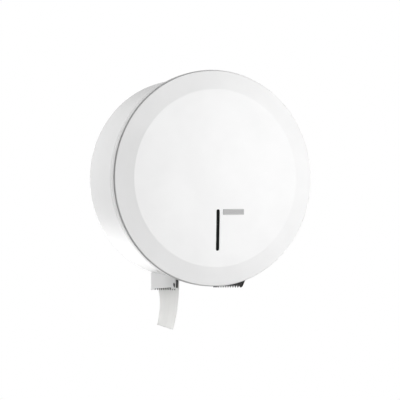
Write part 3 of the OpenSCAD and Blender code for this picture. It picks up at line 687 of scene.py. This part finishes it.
def addBadge(b, c):
    bm = plateMesh(b["x"], b["z"], b["width"], b["height"], b["thick"], b["corner"], 5)
    front = min(bm.faces, key=lambda f: f.normal.y)
    bmesh.ops.bevel(bm, geom=front.edges[:], offset=b["round"] * mm, offset_type="OFFSET", segments=2,
                    profile=0.5, affect="EDGES", material=-1)
    front = max((f for f in bm.faces if f.normal.y < -0.9), key=lambda f: f.calc_area())
    bmesh.ops.inset_region(bm, faces=[front], thickness=b["edge"] * mm)
    bmesh.ops.inset_region(bm, faces=[front], thickness=b["sunk"] * mm, depth=-b["sunk"] * mm)
    front.material_index = 1
    for v in bm.verts:  # the plate takes the crown of the panel
        v.co.y -= crownReach(c, math.hypot(v.co.x, v.co.z) / mm) * mm
    addPiece("badgePlate", bm, "lock_chrome", "cover", smooth=25, weighted=True, coats=plateMetals)


addBadge(badge, cover)
print("badge plate made")


# Level window: a black strip on the inside, with a rib that fills the slot
window = {"ribBack": 0.4, "gap": 0.1, "deep": 1.9, "round": 0.25, "stripEdge": 0.15}


def addWindow(w, c):
    rib = plateMesh(c["slotX"], c["slotZ"], c["slotWidth"] - 2 * w["gap"], c["slotHeight"] - 2 * w["gap"],
                    w["deep"], c["slotWidth"] / 2 - w["gap"] - 0.001, c["slotSteps"])
    bevelSharp(rib, w["round"], 2, 60)
    bmesh.ops.translate(rib, verts=rib.verts, vec=(0, (w["ribBack"] + w["deep"]) * mm, 0))
    for v in rib.verts:
        v.co.y -= crownReach(c, math.hypot(v.co.x, v.co.z) / mm) * mm
    addPiece("windowRib", rib, "window_plastic", "cover", weighted=True)
    strip = softened("level_window", w["stripEdge"])
    addPiece("windowStrip", strip, "window_plastic", "cover", "level_window", weighted=True)


addWindow(window, cover)
print("window made")


# Small hardware: copies of the solids with their edges broken, as a press, a mould or a file leaves them
hardware = [
    ("lockBarrel", "lock_housing", 0.25, "lock_chrome", "housing"),
    ("lockRingNut", "lock_nut", 0.3, "zinc_steel", "housing"),
    ("lockCore", "lock_plug", 0.15, "lock_chrome", "lock_core"),
    ("lockTongue", "lock_cam", 0.3, "zinc_steel", "lock_core"),
    ("tongueScrew", "cam_screw", 0.12, "zinc_steel", "lock_core"),
    ("coverCatch", "catch_bracket", 0.2, "zinc_steel", "cover"),
    ("hingeLeaf.drum", "hinge_leaf_fixed", 0.15, "housing_paint", "housing"),
    ("hingeLeaf.cover", "hinge_leaf_cover", 0.15, "cover_paint", "cover"),
    ("hingePin", "hinge_pin", 0.3, "zinc_steel", "housing"),
    ("hingeRivets", "hinge_rivets", 0.3, "zinc_steel", "housing"),
    ("rubberBuffers", "cover_bumpers", 0.4, "rubber", "housing"),
    ("rollHub", "core_hub", 0.3, "hub_plastic", "roll"),
    ("shaftClip", "retaining_clip", 0.15, "spring_steel", "housing"),
]


def addHardware(rows):
    for name, source, width, slot, body in rows:
        addPiece(name, softened(source, width), slot, body, source, weighted=True)


addHardware(hardware)
print("hardware made")


# Paper: the roll, and its loose end as one thin sheet
roll = {"radius": 125.0, "core": 32.0, "back": 11.5, "width": 86.0, "edge": 1.0, "steps": 256}


def addRoll(r):
    front = r["back"] + r["width"]
    profile = [(r["core"], r["back"]), (r["radius"] - r["edge"], r["back"])]
    profile += arc(r["radius"] - r["edge"], r["back"] + r["edge"], r["edge"], -90, 0, 4)[1:]
    profile += arc(r["radius"] - r["edge"], front - r["edge"], r["edge"], 0, 90, 4)
    profile += [(r["core"], front)]
    addPiece("paperRoll", spunShell(profile, r["steps"]), "tissue", "roll", "paper_roll")


# The loose end leaves the roll on the left, follows the drum to the outlet and hangs inside the left comb
tail = {"thick": 0.3, "onRoll": 125.8, "leavesRoll": (190, 203), "overFoot": 147.5, "roundOutlet": (229, 246),
        "besideComb": -47.7, "bend": ((-2.7, -138.6), (0, -143.5)), "back": 12.0, "width": 85.0,
        "drop": 220.0, "curlTop": -158.0, "bow": 4.6, "hangBack": 0.4, "curl": 9.4, "curlPower": 1.8,
        "lift": 3.2, "columns": 48, "rows": 150, "ripple": 0.5, "rippleScale": (5, 2.2), "rippleFull": 3,
        "rippleSeed": 3.1, "torn": 1.1, "tornScale": 26, "tornSeed": (0.4, 8.2)}


def tailPath(t):
    bends = arc(0, 0, t["onRoll"], *t["leavesRoll"], 10) + arc(0, 0, t["overFoot"], *t["roundOutlet"], 12)
    bends += [(t["besideComb"] + x, z) for x, z in t["bend"]] + [(t["besideComb"], -t["drop"])]
    points = [Vector(p) for p in bends]
    lengths = [(b - a).length for a, b in zip(points, points[1:])]
    even, step = [], sum(lengths) / t["rows"]
    for i in range(t["rows"] + 1):
        left, k = min(i * step, sum(lengths) - 1e-6), 0
        while left > lengths[k]:
            left -= lengths[k]
            k += 1
        even.append(points[k].lerp(points[k + 1], left / lengths[k]))
    return even, sum(lengths)


def addTail(t):
    path, length = tailPath(t)
    bm = bmesh.new()
    bm.loops.layers.uv.new("web")
    bmesh.ops.create_grid(bm, x_segments=t["columns"], y_segments=t["rows"], size=1, calc_uvs=True)
    for v in bm.verts:
        u, row = (v.co.x + 1) / 2, round((v.co.y + 1) / 2 * t["rows"])
        point = path[row]
        free = max(0.0, (t["curlTop"] - point.y) / (t["drop"] + t["curlTop"]))
        sway = (1 - u) * (t["bow"] * math.sin(math.pi * free) - t["hangBack"] * free)
        sway -= u * t["curl"] * free ** t["curlPower"]
        wave = Vector((u * t["rippleScale"][0], free * t["rippleScale"][1], t["rippleSeed"]))
        sway += noise.noise(wave) * t["ripple"] * min(1.0, free * t["rippleFull"])
        height = point.y + t["lift"] * u * free ** 2
        if row == t["rows"]:
            height += t["torn"] * noise.noise(Vector((u * t["tornScale"], *t["tornSeed"])))
        v.co = ((point.x + sway) * mm, -(t["back"] + t["width"] * u) * mm, height * mm)
    sheet = addPiece("paperTail", bm, "tissue", "housing", "paper_tail", smooth=80, coats=[tailTissue])
    thick = sheet.modifiers.new("thickness", "SOLIDIFY")
    thick.thickness = t["thick"] * mm
    thick.offset = 0


addRoll(roll)
addTail(tail)
print("paper made")
